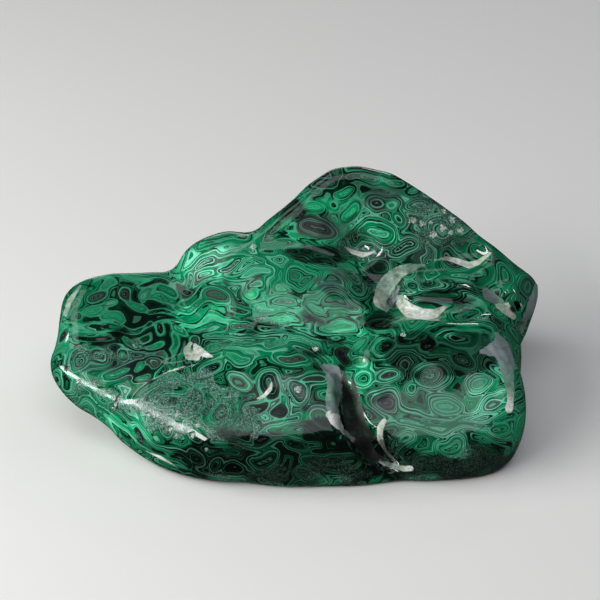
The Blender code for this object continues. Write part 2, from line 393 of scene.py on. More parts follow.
# What grew: each eye is placed where the picture shows it, with its width and height in pixels,
# its turn in degrees and what fills it. A bare core is flat, a ringed one is banded right in.
eyes = {
    "shelf": [
        (97, 297, 16, 14, 0, "grey"), (93, 311, 22, 10, 0, "emerald"), (78, 316, 10, 9, 0, "dark"),
        (125, 294, 15, 16, 0, "grey"), (117, 315, 22, 7, 0, "emerald"), (143, 296, 12, 10, 0, "mint"),
        (166, 299, 28, 6, 0, "emerald"), (159, 311, 42, 5, 3, "dark"), (160, 328, 9, 14, 0, "dark"),
        (178, 329, 14, 11, 0, "ring"), (78, 290, 12, 7, 0, "ring"), (150, 283, 30, 5, 0, "dark"),
        (110, 283, 22, 5, 0, "emerald"), (137, 307, 26, 7, -8, "emerald"),
        (112, 303, 12, 6, 0, "mint"), (186, 311, 26, 6, -12, "ring"),
    ],
    "foot": [
        (96, 339, 46, 7, 0, "dark"), (105, 336, 14, 5, 0, "mint"), (133, 345, 26, 8, -34, "ring"),
        (154, 347, 12, 6, 0, "emerald"), (123, 355, 8, 7, 0, "mint"), (80, 360, 22, 15, 0, "ring"),
        (117, 374, 22, 5, 25, "emerald"), (142, 379, 12, 5, 0, "emerald"),
        (140, 366, 9, 6, 20, "emerald"), (83, 392, 24, 12, -20, "olive"),
        (100, 356, 22, 12, 0, "mauve"), (154, 362, 16, 10, 0, "mauve"),
    ],
    "hump": [
        (183, 291, 36, 8, -25, "grey"), (190, 281, 12, 26, -20, "emerald"),
        (216, 294, 38, 22, 0, "olive"), (268, 240, 14, 6, 0, "olive"), (268, 251, 14, 6, 0, "olive"),
        (291, 250, 12, 8, 0, "ring"), (306, 250, 13, 8, 0, "ring"), (295, 276, 14, 10, -20, "ring"),
        (304, 281, 12, 10, -20, "ring"), (258, 270, 28, 9, 0, "mint"), (256, 284, 15, 9, 0, "ring"),
        (250, 295, 11, 8, 0, "emerald"), (286, 302, 24, 9, 0, "olive"), (281, 319, 38, 10, 0, "emerald"),
        (315, 309, 22, 8, -30, "mint"), (336, 298, 25, 11, -8, "ring"), (352, 308, 14, 7, 0, "olive"),
        (357, 290, 12, 8, 0, "dark"), (338, 327, 38, 12, 0, "emerald"), (240, 327, 27, 9, 0, "ring"),
        (341, 355, 13, 26, 25, "mauve"), (347, 364, 8, 8, 0, "emerald"), (203, 263, 26, 9, 25, "mauve"),
        (230, 268, 20, 8, 10, "mauve"), (237, 310, 26, 7, 0, "dark"), (325, 262, 34, 9, -18, "dark"),
        (366, 279, 26, 8, -25, "dark"), (358, 258, 24, 7, -15, "olive"),
    ],
    "swell": [
        (210, 369, 22, 9, 0, "dark"), (238, 382, 18, 14, 0, "ring"), (215, 391, 9, 9, 0, "ring"),
        (226, 394, 9, 9, 0, "ring"), (238, 358, 25, 7, 0, "emerald"), (268, 383, 22, 28, 0, "grey"),
        (297, 390, 20, 22, 0, "ring"), (284, 399, 5, 5, 0, "mint"), (256, 410, 20, 12, 15, "mauve"),
        (280, 413, 18, 11, 0, "mauve"), (258, 423, 8, 6, 0, "mauve"), (292, 360, 26, 9, 0, "mauve"),
        (315, 379, 20, 8, 0, "mauve"), (197, 460, 14, 10, 0, "ring"), (215, 466, 12, 9, 0, "ring"),
        (335, 465, 62, 18, 0, "ring"), (262, 440, 20, 10, 0, "dark"), (295, 446, 26, 10, 0, "ring"),
        (232, 468, 18, 10, 0, "dark"), (265, 462, 22, 12, 0, "ring"), (250, 345, 40, 5, 2, "ring"),
    ],
    "slab": [
        (369, 178, 19, 14, 0, "ring"), (325, 183, 27, 11, 0, "grey"), (333, 205, 7, 5, 0, "dark"),
        (318, 228, 46, 22, 0, "mauve"), (376, 203, 24, 14, 0, "mauve"), (391, 205, 14, 12, 0, "mint"),
        (398, 219, 13, 13, 0, "ring"), (414, 190, 8, 6, 0, "mint"), (378, 232, 42, 24, -10, "ring"),
        (379, 267, 18, 12, 0, "ring"), (350, 213, 18, 10, 20, "emerald"),
        (312, 207, 26, 10, 15, "emerald"), (345, 193, 26, 8, 0, "emerald"),
        (287, 222, 26, 7, 35, "emerald"), (300, 215, 16, 5, 30, "dark"), (441, 230, 22, 18, 0, "ring"),
        (404, 245, 24, 9, 0, "mauve"), (352, 176, 16, 6, 10, "dark"), (395, 183, 16, 7, -20, "olive"),
        (480, 252, 20, 9, -35, "ring"), (420, 205, 14, 10, 0, "ring"), (355, 236, 9, 20, 0, "dark"),
    ],
    "scoop": [
        (412, 286, 12, 9, 0, "ring"), (527, 287, 18, 26, 0, "olive"), (467, 314, 32, 9, 0, "ring"),
        (470, 288, 34, 6, -10, "dark"), (440, 296, 40, 6, -5, "emerald"), (505, 275, 14, 20, 20, "ring"),
    ],
    "right lobe": [
        (383, 346, 22, 14, 0, "ring"), (461, 361, 24, 19, 0, "ring"), (485, 340, 10, 8, 0, "mint"),
        (447, 352, 40, 8, 0, "emerald"), (430, 377, 30, 27, 0, "ring"), (389, 375, 17, 8, 0, "mauve"),
        (363, 379, 14, 14, 0, "ring"), (385, 403, 28, 20, 0, "mauve"), (445, 407, 26, 14, 0, "mint"),
        (492, 405, 20, 12, 0, "olive"), (406, 438, 14, 14, 0, "ring"), (380, 325, 24, 18, 0, "dark"),
        (479, 383, 24, 12, 30, "mint"), (428, 345, 16, 8, 0, "dark"),
        (360, 362, 12, 10, 0, "emerald"), (500, 430, 22, 9, 20, "ring"),
        (450, 450, 26, 12, 0, "ring"), (480, 460, 22, 12, 0, "ring"), (425, 462, 22, 12, 0, "ring"),
    ],
}

# Parallel bands follow these lines of the picture; the last number is the line's half width.
bandLines = {
    "shelf stripes": ([(65, 324), (110, 326), (150, 324)], 1.0),
    "shelf lower stripe": ([(68, 333), (140, 332)], 0.5),
    "foot bands": ([(175, 337), (173, 363)], 1.5),
    "foot sweep": ([(78, 383), (98, 405), (138, 438), (188, 464)], 2.0),
    "swell rim": ([(135, 400), (150, 386), (172, 376), (205, 385)], 0.8),
    "valley bands": ([(205, 336), (245, 335), (290, 337), (316, 345), (330, 362)], 1.5),
    "swell lines": ([(258, 430), (296, 419)], 1.0),
    "slab foot": ([(268, 236), (310, 243), (352, 262), (385, 285)], 2.0),
    "slab streak": ([(268, 232), (318, 192)], 1.5),
    "hump sweep": ([(178, 300), (186, 276), (205, 262), (232, 256), (262, 261)], 0.8),
    "hump brow": ([(196, 288), (222, 276), (246, 277)], 0.8),
    "shelf back": ([(95, 279), (130, 278), (165, 280), (180, 292)], 0.5),
    "valley left": ([(70, 326), (110, 328), (160, 322), (205, 320), (250, 326)], 0.8),
    "front wave": ([(215, 440), (250, 447), (290, 440), (318, 446)], 0.6),
    "hump rim": ([(176, 262), (200, 245), (240, 236)], 0.8),
    "scoop lens": ([(405, 298), (450, 290), (495, 296)], 1.0),
    "lobe wave": ([(395, 325), (401, 342), (425, 334), (452, 326), (490, 331)], 2.0),
    "lobe shoulder": ([(400, 421), (440, 430), (480, 427), (512, 416)], 1.5),
    "lobe top": ([(440, 345), (475, 350)], 1.0),
    "lobe flow": ([(372, 428), (398, 413), (425, 419), (452, 424), (478, 414), (500, 396)], 0.4),
    "front foot": ([(110, 430), (160, 462), (215, 480)], 1.0),
}

# Wider places: brown-grey, fine and spongy, darker, closer banded, paler or a little dimmer.
# The darker ones are partly the stone's own tone and partly painted shade in the creases and
# valleys and on the downward-facing lower front. Each is the middle, width and height of an
# oval of the picture.
zones = {
    "mauve": [(384, 200, 46, 30), (440, 222, 84, 56), (400, 252, 96, 26), (135, 362, 60, 40),
              (112, 357, 96, 30), (295, 400, 60, 40), (345, 282, 60, 24), (205, 262, 40, 14),
              (268, 412, 50, 22), (378, 250, 80, 24), (318, 228, 50, 16), (310, 380, 30, 14),
              (385, 400, 36, 26)],
    "sponge": [(188, 408, 110, 62), (225, 425, 70, 40), (108, 352, 60, 18), (441, 224, 74, 48),
               (470, 316, 44, 22), (86, 381, 30, 13), (102, 391, 32, 14), (120, 402, 34, 15),
               (138, 413, 34, 17), (270, 326, 110, 10), (458, 468, 130, 36), (300, 476, 200, 26),
               (430, 378, 20, 18)],
    # darker places, partly painted shade in the creases and valleys and on the downward-facing lower
    # front
    "dark": [(98, 338, 60, 10), (450, 301, 70, 12), (270, 327, 110, 10), (318, 350, 26, 20),
             (320, 464, 290, 42), (480, 464, 110, 34), (322, 440, 46, 50), (325, 256, 90, 12),
             (378, 322, 30, 26), (450, 352, 70, 26), (285, 208, 40, 14), (440, 352, 120, 44),
             (290, 455, 200, 46), (378, 268, 40, 18), (345, 355, 24, 30)],
    "lined": [(235, 400, 200, 90), (440, 390, 150, 110), (110, 375, 110, 70), (410, 230, 140, 70),
              (250, 462, 320, 50), (262, 338, 130, 34), (450, 288, 90, 34), (230, 265, 110, 40),
              (120, 425, 130, 60), (405, 438, 60, 40)],
    "bright": [(200, 318, 70, 26), (272, 302, 60, 22), (281, 320, 44, 14), (338, 205, 70, 32),
               (350, 325, 44, 20), (378, 232, 40, 24), (488, 400, 40, 44), (362, 380, 26, 30),
               (300, 232, 40, 14), (120, 428, 90, 26), (198, 262, 56, 34)],
    "dim": [(120, 303, 130, 60), (450, 288, 90, 30), (455, 400, 120, 50), (420, 428, 110, 40),
            (330, 195, 120, 60), (440, 375, 60, 44), (370, 300, 80, 50), (240, 455, 190, 60)],
}

# Places that the polishing didn't reach, which kept a pale satin crust, and painted light laid the same
# way:
# the crescents, smiles, scarps, glints and flash, the cleft's walls, strip, lip and blob, the shelf
# corner, the recess and the right corner and end are painted highlights and reflections, partly over
# real crust, and the gaps, the cleft's far wall, the scoop's shade, the hole and the slit are painted
# shade.
# Stops along each, with a radius in pixels and a tone from the black of a gap's painted shade (0)
# through lavender and grey-green to white.
crustsAndPaintedLight = {
    # painted highlights and reflections in the scoop, painted shade between them, and the collar's pale
    # crust
    "scoop crescent": [(399, 297, 2.5, 0.56), (402, 304, 6, 0.68), (409, 311, 7.5, 0.86),
                       (422, 315, 6.8, 0.98), (434, 314, 5, 0.84), (447, 306, 1, 0.62)],
    "scoop collar": [(386, 309, 3.5, 0.48), (379, 301, 6.5, 0.74), (382, 292, 8.5, 0.60),
                     (390, 280, 8, 0.52), (399, 272, 6.5, 0.62), (410, 268, 4.5, 0.47),
                     (424, 265, 1, 0.42)],
    "scoop shade": [(390, 305, 2.5, 0.20), (394, 297, 3, 0.24), (399, 287, 1.2, 0.22)],
    "slab smile": [(343, 246, 0.8, 0.80), (352, 252, 2.4, 0.95), (362, 255, 3, 0.92),
                   (371, 253, 1.6, 0.85), (377, 251, 0.5, 0.75)],
    "right smile": [(434, 260, 1, 0.60), (446, 258, 2.2, 0.80), (457, 261, 3.2, 0.92),
                    (468, 265, 3.6, 0.90), (478, 262, 2.8, 0.80), (490, 253, 1.2, 0.65)],
    "scarp left": [(190, 342, 0.8, 0.52), (187, 350, 4.2, 0.58), (189, 357, 4, 0.70),
                   (198, 359, 2.6, 0.78)],
    "scarp right": [(193, 343, 0.8, 0.80), (198, 351, 4.6, 0.84), (206, 356, 2.8, 0.98),
                    (213, 358, 0.6, 0.90)],
    "scarp line": [(163, 374, 0.6, 0.70), (175, 370, 0.9, 0.85), (186, 367, 0.6, 0.70)],
    # painted reflections on the cleft's walls, strip, lip and blob, and painted shade in its gap
    "cleft wall": [(324, 367, 3.5, 0.34), (333, 373, 8, 0.31), (335, 385, 8, 0.36),
                   (334, 395, 8.5, 0.46), (334, 406, 8, 0.34)],
    "cleft gap": [(344, 376, 2, 0.03), (347, 392, 4.5, 0.03), (348, 410, 6, 0.03),
                  (353, 428, 7, 0.03), (363, 445, 7.5, 0.03), (374, 456, 5.5, 0.03),
                  (385, 462, 2.5, 0.03)],
    "cleft far wall": [(352, 380, 1.5, 0.11), (357, 400, 3.5, 0.11), (361, 422, 4, 0.11),
                       (371, 438, 3, 0.11)],
    "cleft blob": [(329, 415, 3.5, 0.85), (335, 420, 6, 1.0), (340, 429, 4, 1.0),
                   (343, 434, 1.5, 0.80)],
    "cleft strip": [(344, 432, 2, 0.52), (352, 438, 3, 0.33), (360, 443, 3.4, 0.30),
                    (372, 455, 3, 0.36), (385, 464, 2.6, 0.60), (398, 468, 2.4, 0.55),
                    (405, 470, 3.0, 0.86), (410, 469, 3.2, 0.97)],
    "cleft lip": [(384, 421, 2.4, 0.90), (380, 428, 3.4, 0.70), (379, 438, 2.6, 0.95),
                  (385, 451, 1.8, 0.80), (395, 463, 1.0, 0.60)],
    "recess wall": [(485, 291, 4, 0.32), (490, 297, 7, 0.35), (498, 303, 6, 0.44)],
    "recess": [(500, 304, 6, 0.55), (506, 309, 6, 0.72), (513, 317, 3, 0.80)],
    "recess hole": [(511, 309, 3.5, 0.05), (513, 312, 3, 0.05)],
    "right corner": [(536, 286, 3, 0.44), (533, 301, 6, 0.33), (527, 317, 5.5, 0.35),
                     (521, 330, 3, 0.42)],
    "right end tip": [(481, 353, 2, 0.34), (497, 349, 9, 0.32)],
    "right end": [(497, 336, 3.5, 0.38), (501, 348, 10, 0.31), (506, 362, 9, 0.33),
                  (507, 376, 6, 0.40), (510, 392, 4, 0.50), (510, 402, 3.2, 0.85),
                  (509, 409, 4.2, 1.0)],
    "cell crescent": [(256, 400, 0.6, 0.75), (264, 397, 1.8, 0.95), (270, 390, 2, 0.85),
                      (272, 383, 0.6, 0.70)],
    "lobe glint": [(361, 357, 0.6, 0.95), (364, 361, 1.7, 1.0)],
    "shelf corner": [(80, 286, 1.6, 0.48), (70, 300, 3.5, 0.55), (65, 314, 2.6, 0.50)],
    "hump pit": [(251, 247, 1.6, 0.75), (253, 248, 1.6, 0.75)],
    # painted shade in the slit and the hole
    "foot slit": [(120, 395, 0.8, 0.03), (116, 403, 1.6, 0.03), (113, 410, 0.8, 0.03)],
    "foot hole": [(65, 366, 1.6, 0.03), (69, 370, 1.0, 0.03)],
    "rim flash": [(145, 451, 0.4, 0.85), (160, 458, 1.7, 0.96), (177, 467, 0.5, 0.85)],
}

growth = {
    "merge": 0.9,            # how softly the bands of two eyes run together, mm
    "bend": (28.0, 1.5),     # length and strength of the slow bending of all bands, mm
    "crinkle": (9.0, 0.22),  # and of their small bends, mm
    "depth": 3.0,            # how far an eye goes in, as a share of its height
    "lineDepth": 0.35,       # and how much the way in counts from a band line
    "closeness": (1.25, 0.6),    # how close and thin the bands are, and how much more when lined
    "hairLines": (0.25, 0.65),   # how strong the hair lines are, and how much more when lined
    "dimming": 0.35,         # how much of a dark place a dim one is
    # eyes that no picture shows: the room between them and their half heights in mm, how many
    # places are tried, and the seed
    "spacing": (11.0, 17.0),
    "halfHeights": (1.6, 4.2),
    "tries": 6000,
    "scatter": 5,
}
coreTone = {"dark": 0.0, "grey": 0.2, "mauve": 0.36, "olive": 0.5, "emerald": 0.68, "mint": 0.84,
            "pale": 1.0, "ring": 0.6}


def bent(p):
    # Where a point counts as lying once the bands are bent.
    moved = p.copy()
    for seed, (size, strength) in enumerate((growth["bend"], growth["crinkle"])):
        for axis in range(3):
            moved[:, axis] += strength * wander(p, size, 10 + 3 * seed + axis)
    return moved


def blobDistance(p, centre, axes, half):
    q = ((p - centre) @ axes) / half
    level = np.linalg.norm(q, axis=1)
    steep = np.linalg.norm(q / half, axis=1) + 1e-9
    return level * (level - 1) / steep


def pictureAxes(turn):
    # The camera's axes turned in the picture, counted anticlockwise.
    t = radians(turn)
    side = across * cos(t) + upwards * sin(t)
    return np.stack([side, np.cross(toCamera, side), toCamera], axis=1)


def findPlaces():
    # Looks up every pixel that the tables above name, all in one go.
    named = [place for place, _, _ in pitList]
    named += [stop for stops, _, _ in seams.values() for stop in stops]
    named += [row[:2] for group in eyes.values() for row in group]
    named += [stop for stops, _ in bandLines.values() for stop in stops]
    named += [row[:2] for rows in zones.values() for row in rows]
    named += [stop[:2] for stops in crustsAndPaintedLight.values() for stop in stops]
    named = sorted(set(named))
    return dict(zip(named, lookedUp(named)))


def placedEyes():
    rows = [row for group in eyes.values() for row in group]
    centres = seenAt([row[:2] for row in rows])
    found = []
    for centre, (_, _, width, height, turn, core) in zip(centres, rows):
        half = np.array([width, height, 0.0]) * view["pixel"] / 2
        half[2] = growth["depth"] * min(half[0], half[1] * 1.5)
        found.append((centre, pictureAxes(turn), half, coreTone[core], float(core == "ring")))
    return found


def scatteredEyes(points, normals, placed):
    # Fills what the picture doesn't show with eyes of like size, no two too close.
    draw = np.random.default_rng(growth["scatter"])
    tree = KDTree(4000)
    count = 0
    for centre, *_ in placed:
        tree.insert(Vector(centre), count)
        count += 1
    for stops, _ in bandLines.values():
        ends = seenAt(stops)
        for a, b in zip(ends, ends[1:]):
            tree.insert(Vector((a + b) / 2), count)
            count += 1
    tree.balance()
    kinds = ["dark", "grey", "mauve", "olive", "emerald", "emerald", "mint", "ring", "ring", "ring"]
    kept = np.zeros((0, 3))
    found = []
    for index in draw.permutation(len(points))[:growth["tries"]]:
        spot = points[index]
        room = draw.uniform(*growth["spacing"])
        if tree.find(Vector(spot))[2] < room:
            continue
        if len(kept) and np.min(np.linalg.norm(kept - spot, axis=1)) < room:
            continue
        kept = np.vstack([kept, spot])
        side = np.cross(normals[index], draw.normal(size=3))
        side /= np.linalg.norm(side)
        axes = np.stack([side, np.cross(normals[index], side), normals[index]], axis=1)
        small = draw.uniform(*growth["halfHeights"])
        half = np.array([small * draw.uniform(1.0, 2.4), small, small * 1.6])
        core = kinds[draw.integers(len(kinds))]
        found.append((spot, axes, half, coreTone[core], float(core == "ring")))
    return found


def lineDistance(p, stops):
    # Distance to a line of the picture, which goes straight in from the camera.
    nearest = None
    for a, b in zip(stops, stops[1:]):
        q = fromStretch(p, a, b)[1] @ cameraAxes
        q[:, 2] *= growth["lineDepth"]
        piece = np.linalg.norm(q, axis=1)
        nearest = piece if nearest is None else np.minimum(nearest, piece)
    return nearest


def growthOf(points, normals):
    placed = placedEyes()
    scattered = scatteredEyes(points, normals, placed)
    print("eyes:", len(placed), "placed,", len(scattered), "scattered")
    warped = bent(points)
    merge = growth["merge"]
    weight = np.zeros(len(points))
    tone = np.zeros(len(points))
    ringed = np.zeros(len(points))
    every = placed + scattered
    centres = bent(np.array([eye[0] for eye in every]))
    for centre, (_, axes, half, shade, rings) in zip(centres, every):
        share = np.exp(-np.clip(blobDistance(warped, centre, axes, half), -8, 60) / merge)
        weight += share
        tone += share * shade
        ringed += share * rings
    for stops, thick in bandLines.values():
        ends = bent(seenAt(stops))
        share = np.exp(-np.clip(lineDistance(warped, ends) - thick, -8, 60) / merge)
        weight += share
        tone += share * coreTone["emerald"]
        ringed += share
    return -merge * np.log(weight), tone / weight, ringed / weight


def zoneOf(points, normals, kind, seed):
    # How strongly a point belongs to a zone: the picture's own places, and others where it
    # doesn't reach.
    strength = np.zeros(len(points))
    moved = points + 2.5 * np.stack([wander(points, 14, seed + i) for i in range(3)], axis=1)
    for u, v, width, height in zones[kind]:
        centre = seenAt([(u, v)])[0]
        half = np.array([width, height, 3 * height]) * view["pixel"] / 2
        away = blobDistance(moved, centre, cameraAxes, half)
        strength = np.maximum(strength, smooth(0.5 - away / 5))
    unseen = smooth(0.1 - 2.5 * (normals @ toCamera))
    return np.maximum(strength, unseen * smooth(1.6 * wander(points, 55, seed + 7) - 1.1))


def crustAndPaintedLightOf(points):
    # How far each point lies from the nearest patch of crust, painted highlight, reflection and shade,
    # negative inside it, and that patch's tone.
    away = np.full(len(points), 12.0)
    tone = np.zeros(len(points))
    flat = np.array([1, 1, 0.2])     # what lies in front or behind counts for little
    for stops in crustsAndPaintedLight.values():
        ends = seenAt([stop[:2] for stop in stops])
        for a, b, first, second in zip(ends, ends[1:], stops, stops[1:]):
            run = (b - a) @ cameraAxes * flat
            q = (points - a) @ cameraAxes * flat
            share = np.clip((q @ run) / (run @ run + 1e-6), 0, 1)
            radius = (first[2] + (second[2] - first[2]) * share) * view["pixel"]
            shade = first[3] + (second[3] - first[3]) * share
            piece = np.linalg.norm(q - share[:, None] * run, axis=1) - radius
            tone = np.where(piece < away, shade, tone)
            away = np.minimum(away, piece)
    return away, tone


def refined(mesh, spots, reach):
    # Splits the squares near these spots, for small dents.
    centres = np.empty(len(mesh.polygons) * 3)
    mesh.polygons.foreach_get("center", centres)
    centres = centres.reshape(-1, 3)
    near = np.zeros(len(centres), dtype=bool)
    for spot, radius in spots:
        near |= np.linalg.norm(centres - spot, axis=1) < radius + reach
    bm = bmesh.new()
    bm.from_mesh(mesh)
    bm.faces.ensure_lookup_table()
    edges = {edge for index in np.flatnonzero(near) for edge in bm.faces[index].edges}
    ordered = sorted(edges, key=lambda edge: edge.index)
    bmesh.ops.subdivide_edges(bm, edges=ordered, cuts=1, use_grid_fill=True)
    bm.to_mesh(mesh)
    bm.free()


def meshPoints(mesh):
    flat = np.empty(len(mesh.vertices) * 3, dtype=np.float32)
    mesh.vertices.foreach_get("co", flat)
    return flat.reshape(-1, 3).astype(float)


def dented(points, normals):
    # The pits and slits, and how deep in one each point lies, from 0 to 1.
    inPit = np.zeros(len(points))
    drop = np.zeros(len(points))
    rough = wander(points, 1.6, 71)
    for place, radius, depth in pitList:
        spot = seenAt([place])[0]
        reach = np.linalg.norm(points - spot, axis=1) / (radius * (1 + 0.16 * rough))
        bowl = smooth((1.15 - reach) / 0.45)
        inPit = np.maximum(inPit, bowl)
        drop = np.maximum(drop, depth * bowl * (1 + 0.25 * wander(points, 1.1, 72)))
    for stops, halfWidth, depth in seams.values():
        ends = seenAt(stops)
        nearest = np.full(len(points), 1e9)
        for a, b in zip(ends, ends[1:]):
            nearest = np.minimum(nearest, np.linalg.norm(fromStretch(points, a, b)[1], axis=1))
        bowl = smooth((1.3 - nearest / (halfWidth * (1 + 0.2 * rough))) / 0.6)
        inPit = np.maximum(inPit, 0.6 * bowl)
        drop = np.maximum(drop, depth * bowl)
    return points - drop[:, None] * normals, inPit


def fitted(points):
    # Sets the stone into the CAD's own box and turns millimetres to metres.
    points = points.copy()
    points[:, 2][points[:, 2] < skin["baseSnap"]] = 0.0
    low, high = points.min(axis=0), points.max(axis=0)
    size = np.array(cadHigh) - np.array(cadLow)
    return np.array(cadLow) + (points - low) * size / (high - low)


def addAttribute(mesh, name, values):
    kind = "FLOAT_VECTOR" if np.ndim(values) == 2 else "FLOAT"
    attribute = mesh.attributes.new(name, kind, "POINT")
    field = "vector" if kind == "FLOAT_VECTOR" else "value"
    attribute.data.foreach_set(field, np.ascontiguousarray(values, dtype=np.float32).ravel())


def makeStone():
    values = gridValues(skin["low"], skin["high"], skin["step"])
    points, faces = skinned(values, skin["low"], skin["step"])
    points = evenedOut(points, faces, skin["rounds"])
    print("skin:", len(points), "points")
    mesh = bpy.data.meshes.new("polishedStone")
    mesh.from_pydata(points.tolist(), [], faces.tolist())
    spots = [(seenAt([place])[0], radius) for place, radius, _ in pitList]
    for stops, _, _ in seams.values():
        spots += [(spot, skin["seamReach"]) for spot in seenAt(stops)]
    for reach in skin["finer"]:
        refined(mesh, spots, reach)
    points = meshPoints(mesh)
    points, gradient = ontoSkin(points)
    normals = gradient / np.linalg.norm(gradient, axis=1)[:, None]
    clear = smooth((points[:, 2] - skin["clear"][0]) / skin["clear"][1])
    wave = wander(points, skin["waveLength"], 3) * skin["waviness"] * clear
    for middle, reach, height in crowns.values():
        away = np.linalg.norm(points - np.array(middle), axis=1) / reach
        wave += height * np.clip(1 - away ** 2, 0, 1) ** 2
    crustAndLightAway, crustAndLightTone = crustAndPaintedLightOf(points)
    # only a crust of a middle tone is lumpy, not the painted shade of a gap or the painted highlight of
    # a bright lip
    lumpy = smooth(-crustAndLightAway / 1.5)
    lumpy *= smooth((crustAndLightTone - 0.2) * 8) * smooth((0.95 - crustAndLightTone) * 8)
    wave += skin["crustLumps"] * lumpy * wander(points, 5.0, 81)
    points, inPit = dented(points + wave[:, None] * normals, normals)
    print("refined:", len(points), "points,", len(mesh.polygons), "faces")
    reach, tone, ringed = growthOf(points, normals)
    mauve = zoneOf(points, normals, "mauve", 100)
    sponge = zoneOf(points, normals, "sponge", 200)
    # the stone's own paler and darker places, the darker partly painted shade in creases, valleys and on
    # the lower front
    toneAndPaintedShade = zoneOf(points, normals, "bright", 300) - zoneOf(points, normals, "dark", 400)
    toneAndPaintedShade -= growth["dimming"] * zoneOf(points, normals, "dim", 600)
    toneAndPaintedShade = np.clip(toneAndPaintedShade, -1, 1)
    lined = zoneOf(points, normals, "lined", 500)
    reach *= growth["closeness"][0] + growth["closeness"][1] * lined
    lined = growth["hairLines"][0] + growth["hairLines"][1] * lined
    mesh.vertices.foreach_set("co", fitted(points).astype(np.float32).ravel())
    mesh.update()
    addAttribute(mesh, "growth", reach)
    addAttribute(mesh, "cores", np.stack([tone, ringed, inPit], axis=1))
    addAttribute(mesh, "zones", np.stack([mauve, sponge, toneAndPaintedShade], axis=1))
    addAttribute(mesh, "crustsAndPaintedLight", np.stack([crustAndLightAway, crustAndLightTone, lined], axis=1))
    mesh.shade_smooth()
    stoneObject = bpy.data.objects.new("polished_stone", mesh)
    bpy.context.scene.collection.objects.link(stoneObject)
    triangles = sum(len(face.vertices) - 2 for face in mesh.polygons)
    print("stone:", triangles, "triangles")
    return stoneObject


def hexColour(text):
    # sRGB hex to linear
    channels = [int(text[i:i + 2], 16) / 255 for i in (1, 3, 5)]
    linear = [c / 12.92 if c <= 0.04045 else ((c + 0.055) / 1.055) ** 2.4 for c in channels]
    return (*linear, 1)


def addNode(tree, kind, inputs=None, stops=None, **settings):
    # Adds a node with its settings and, on a colour ramp, its stops. An input is a value, the
    # output of another node, or another node, which then gives its first output.
    node = tree.nodes.new(kind)
    for name, value in settings.items():
        setattr(node, name, value)
    for name, value in (inputs or {}).items():
        if isinstance(value, bpy.types.Node):
            value = value.outputs[0]
        if isinstance(value, bpy.types.NodeSocket):
            tree.links.new(value, node.inputs[name])
        else:
            node.inputs[name].default_value = value
    if stops:
        ramp = node.color_ramp
        for position, _ in stops[2:]:
            ramp.elements.new(position)
        for element, (position, _) in zip(ramp.elements, stops):
            element.position = position
        for element, (_, colour) in zip(ramp.elements, stops):
            element.color = hexColour(colour)
    return node


# Polished malachite: copper carbonate grown in thin layers, ground and polished to a glassy face.
# The eye gets black-green to pale mint bands, a hard wet gloss and dark mirror reflections.
malachite = {
    "bandRate": 0.32,         # layers per mm of growth
    "drift": 0.014,           # how fast the order of layers changes from place to place, per mm
    "wobble": (0.09, 0.40),   # the bands' own slight bends: per mm, and mm
    "tremble": (0.40, 0.08),
    "fineRate": 1.35,         # hair lines per mm
    "roughness": 0.08,
    "ior": 1.72,              # malachite is 1.66 to 1.91
    "greens": [
        (0.000, "#020F09"), (0.370, "#04261A"), (0.400, "#05351F"), (0.432, "#064429"),
        (0.446, "#07744B"), (0.454, "#4CC496"), (0.462, "#08845A"), (0.520, "#089660"),
        (0.534, "#077E50"), (0.544, "#052C1D"), (0.572, "#042418"), (0.580, "#07633F"),
        (0.588, "#66D2AA"), (0.597, "#0AA069"), (0.690, "#087F52"), (0.760, "#5FCFA4"),
    ],
    "browns": [
        (0.000, "#0D1615"), (0.400, "#192424"), (0.430, "#2E3838"), (0.452, "#4FA583"),
        (0.462, "#334242"), (0.520, "#4B5253"), (0.545, "#3F9474"), (0.555, "#131F1D"),
        (0.580, "#1F2A2A"), (0.590, "#5CBC98"), (0.605, "#3B5450"), (0.700, "#5B6464"),
    ],
    "cores": [
        (0.00, "#04110B"), (0.10, "#06180F"), (0.16, "#172724"), (0.27, "#2D3838"),
        (0.33, "#383B3C"), (0.42, "#4A4748"), (0.47, "#1D4F38"), (0.58, "#1C6343"),
        (0.64, "#11A066"), (0.74, "#14AC6E"), (0.80, "#2AB17F"), (0.90, "#4FC096"),
        (1.00, "#6FC2A0"),
    ],
    # the crust's tones, with black for the painted shade of gaps and holes and lavender to white for
    # painted highlights and reflections
    "crustAndLightColour": [
        (0.00, "#080505"), (0.08, "#191210"), (0.13, "#3A322F"), (0.19, "#625F68"),
        (0.28, "#86858F"), (0.42, "#64897A"), (0.58, "#90A895"), (0.78, "#C8CDBB"),
        (0.92, "#E0E5DE"), (1.00, "#F0F3EE"),
    ],
    "sponge": [
        (0.36, "#0F3325"), (0.44, "#12402E"), (0.50, "#2C6C54"), (0.57, "#7DB4A0"),
        (0.70, "#B4D9CA"),
    ],
    "outline": "#4FC296",
    "outlineWidth": (0.36, 0.10),    # half widths of the line round a core, faint and full, mm
    "hairLine": "#7ADDB7",
    "pitFloor": "#B4C4B2",
    "zoneBias": 0.10,         # how far a dark or bright place shifts the order of the layers
    "toneAndShadeScale": (0.15, 1.25),   # how bright the darkest and the brightest places are, the darkest partly as painted shade
    "spongeGrain": 0.42,      # grains of the spongy places per mm, and their rings
    "spongeRings": 9.0,
    "pitGloss": 0.32,         # roughness of the spongy places, and of the dark and pale crusts and painted light
    "satin": (0.70, 0.30),
    "relief": (0.35, 0.15),   # strength and depth in mm of the pores and of the crust
}


